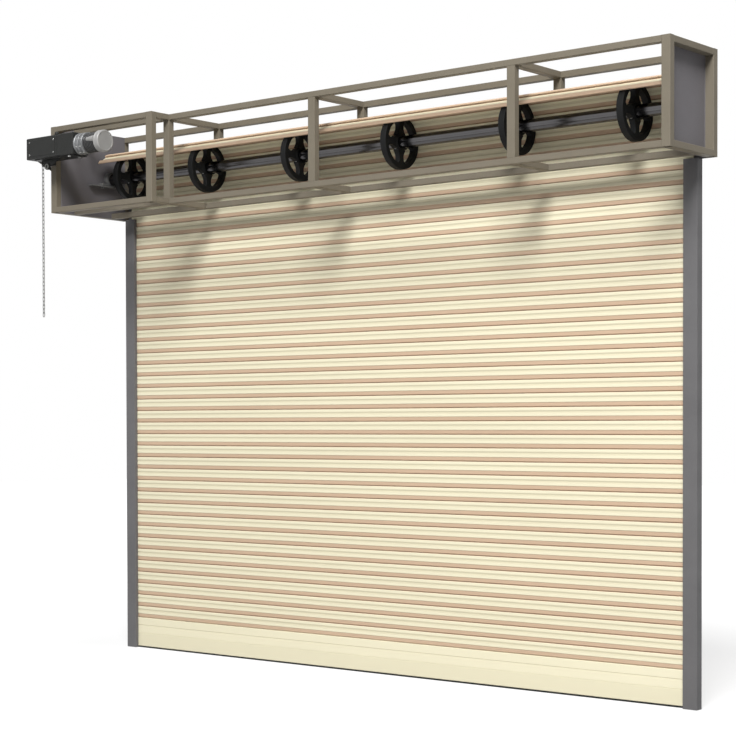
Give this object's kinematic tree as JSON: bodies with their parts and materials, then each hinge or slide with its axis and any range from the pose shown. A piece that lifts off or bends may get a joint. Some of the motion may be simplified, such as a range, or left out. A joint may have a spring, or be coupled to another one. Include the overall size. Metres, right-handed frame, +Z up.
{
  "type": "roller shutter door",
  "caption": "Exterior-type rolling steel shutter with an open tube head frame, spoked barrel, side guides, motor operator and release chain.",
  "frame": {"origin": "floor level, on the wall plane, midway between the two guides", "axes": "+X along the wall, +Y into the wall, +Z up; the head frame stands out towards -Y"},
  "size_m": [4.5555, 0.8, 3.422],
  "materials": {
    "slat_paint": "satin folded sheet with a pink band at each joint",
    "frame_paint": "satin taupe paint",
    "plate_paint": "matt grey paint",
    "guide_paint": "satin grey paint",
    "wheel_paint": "black paint",
    "shaft_steel": "dark polished steel",
    "bar_paint": "satin paint",
    "seal_rubber": "matt black",
    "housing_paint": "black satin paint",
    "ring_metal": "cast, ribbed",
    "motor_paint": "glossy black",
    "cap_metal": "satin",
    "bracket_paint": "black satin paint",
    "chain_zinc": "bright zinc",
    "drive_steel": "oiled steel",
    "bolt_zinc": "bright zinc",
    "bearing_iron": "grey cast iron"
  },
  "bodies": {
    "frame": {"front_top_rail": "frame_paint", "front_bottom_rail": "frame_paint", "rear_top_rail": "frame_paint", "rear_bottom_rail": "frame_paint", "bay_top_rail": "frame_paint", "bay_bottom_rail": "frame_paint", "bay_post": "frame_paint", "bay_top_side": "frame_paint", "bay_bottom_side": "frame_paint", "left_front_post": "frame_paint", "left_rear_post": "frame_paint", "left_top_tube": "frame_paint", "left_bottom_tube": "frame_paint", "right_front_post": "frame_paint", "right_rear_post": "frame_paint", "right_top_tube": "frame_paint", "right_bottom_tube": "frame_paint", "step_front_upright": "frame_paint", "step_top_cross": "frame_paint", "step_bottom_cross": "frame_paint", "step_rear_upright": "frame_paint", "middle_front_upright": "frame_paint", "middle_top_cross": "frame_paint", "middle_bottom_cross": "frame_paint", "middle_rear_upright": "frame_paint", "right_bay_front_upright": "frame_paint", "right_bay_top_cross": "frame_paint", "right_bay_bottom_cross": "frame_paint", "right_bay_rear_upright": "frame_paint", "left_end_plate": "plate_paint", "right_end_plate": "plate_paint", "left_guide": "guide_paint", "right_guide": "guide_paint", "left_bearing": "bearing_iron", "right_bearing": "bearing_iron", "hanging_slats": "slat_paint", "drive_chain": "drive_steel", "gear_housing": "housing_paint", "gear_ring": "ring_metal", "motor_body": "motor_paint", "end_cap": "cap_metal", "operator_tray": "bracket_paint", "release_bracket": "bracket_paint", "bolts": "bolt_zinc"},
    "curtain": {"lifting_slats": "slat_paint", "bottom_bar": "bar_paint", "bottom_seal": "seal_rubber"},
    "barrel": {"shaft": "shaft_steel", "wheel_1": "wheel_paint", "wheel_2": "wheel_paint", "wheel_3": "wheel_paint", "wheel_4": "wheel_paint", "wheel_5": "wheel_paint", "wheel_6": "wheel_paint", "wrapped_slats": "slat_paint", "large_sprocket": "drive_steel"},
    "output": {"output_sprocket": "drive_steel"},
    "pull_chain": {"release_chain": "chain_zinc"},
    "lever": {"release_lever": "bracket_paint"}
  },
  "joints": [
    {"name": "curtain_lift", "type": "slide", "parent": "frame", "child": "curtain", "axis": [0, 0, 1], "range_m": [0, 2.593], "deforming": ["hanging_slats"]},
    {"name": "barrel_spin", "type": "hinge", "parent": "frame", "child": "barrel", "pos_m": [0, -0.1835, 3.12], "axis": [1, 0, 0], "range_deg": [0, 720]},
    {"name": "output_spin", "type": "hinge", "parent": "frame", "child": "output", "pos_m": [-2.3, -0.728, 3.262], "axis": [1, 0, 0], "range_deg": [0, 2880]},
    {"name": "release_pull", "type": "slide", "parent": "frame", "child": "pull_chain", "axis": [0, 0, -1], "range_m": [0, 0.01], "stiffness_N_per_m": 600, "springref_m": -0.012},
    {"name": "lever_turn", "type": "hinge", "parent": "frame", "child": "lever", "pos_m": [-2.141, -0.728, 3.15], "axis": [0, -1, 0], "range_deg": [0, 10]}
  ],
  "couplings": [
    {"joint": "barrel_spin", "follows": "curtain_lift", "rad_per_m": 4.8463},
    {"joint": "output_spin", "follows": "curtain_lift", "rad_per_m": 19.385},
    {"joint": "lever_turn", "follows": "release_pull", "rad_per_m": 17.453}
  ]
}
